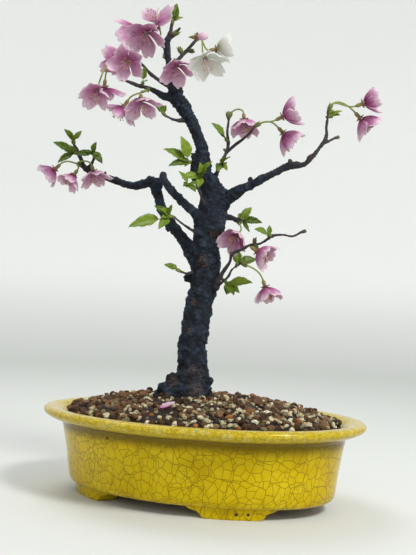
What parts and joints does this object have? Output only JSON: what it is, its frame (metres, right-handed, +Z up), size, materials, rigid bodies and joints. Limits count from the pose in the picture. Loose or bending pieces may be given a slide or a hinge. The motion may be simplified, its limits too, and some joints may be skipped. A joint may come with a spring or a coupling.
{
  "type": "cherry blossom bonsai",
  "caption": "Small flowering cherry tree with pink blooms and young leaves, standing in granular soil in an oval yellow crackle-glazed pot on bracket feet.",
  "frame": {"origin": "middle of the whole outline, on the surface that the pot's feet stand on", "axes": "+X along the pot's long side, +Z up; the tree's front faces -Y, turned 18 degrees towards +X"},
  "size_m": [0.2814, 0.1816, 0.3946],
  "materials": {
    "glaze": "glossy yellow glaze with a fine brown crackle",
    "screen": "black plastic mesh",
    "granules": "loose baked clay and pumice grains",
    "bark": "rough dark flaking bark",
    "pink_petal": "thin soft pink petals",
    "white_petal": "thin soft white petals",
    "bud": "folded deep pink petals",
    "flower_stalk": "smooth green-brown stalks, calyxes and bud scales",
    "leaf": "fresh yellow-green leaves, satin"
  },
  "bodies": {
    "root": {"pot": "glaze", "drain_screen_right": "screen", "drain_screen_left": "screen", "soil": "granules", "fallen_petal": "pink_petal", "tree": "bark", "spray_crown": "flower_stalk", "bloom_crown_top": "pink_petal", "bloom_crown_hanging": "pink_petal", "bloom_crown_behind": "pink_petal", "spray_upper_left": "flower_stalk", "bloom_face_on": "pink_petal", "bloom_outer_top": "pink_petal", "bloom_outer_back": "pink_petal", "bloom_outer_low": "pink_petal", "spray_middle_left": "flower_stalk", "bloom_middle_left": "pink_petal", "bloom_middle_right": "pink_petal", "spray_leader_front": "flower_stalk", "bloom_leader_front": "pink_petal", "spray_white": "flower_stalk", "bloom_white_open": "white_petal", "bloom_white_side": "white_petal", "closed_bud": "bud", "spray_right_inner": "flower_stalk", "bloom_right_inner": "pink_petal", "spray_right_middle": "flower_stalk", "bloom_right_upper": "pink_petal", "bloom_right_lower": "pink_petal", "spray_right_end": "flower_stalk", "bloom_end_upper": "pink_petal", "bloom_end_lower": "pink_petal", "spray_left_end": "flower_stalk", "bloom_left_outer": "pink_petal", "bloom_left_middle": "pink_petal", "bloom_left_inner": "pink_petal", "spray_spur": "flower_stalk", "bloom_heart": "pink_petal", "spray_low_front": "flower_stalk", "bloom_low_middle": "pink_petal", "spray_low_hanging": "flower_stalk", "bloom_low_hanging": "pink_petal", "crown_leaf": "leaf", "upper_left_leaf": "leaf", "small_left_leaf": "leaf", "left_end_leaves": "leaf", "left_fork_leaves": "leaf", "left_twig_leaves": "leaf", "leader_left_leaves": "leaf", "leader_front_leaves": "leaf", "right_twig_upper_leaf": "leaf", "right_twig_leaves": "leaf", "inner_leaf": "leaf", "thin_twig_leaves": "leaf", "low_left_leaf": "leaf", "spur_leaves": "leaf", "low_right_leaf": "leaf", "low_fork_leaves": "leaf", "low_knot_leaves": "leaf", "right_end_leaf": "leaf"}
  },
  "joints": []
}
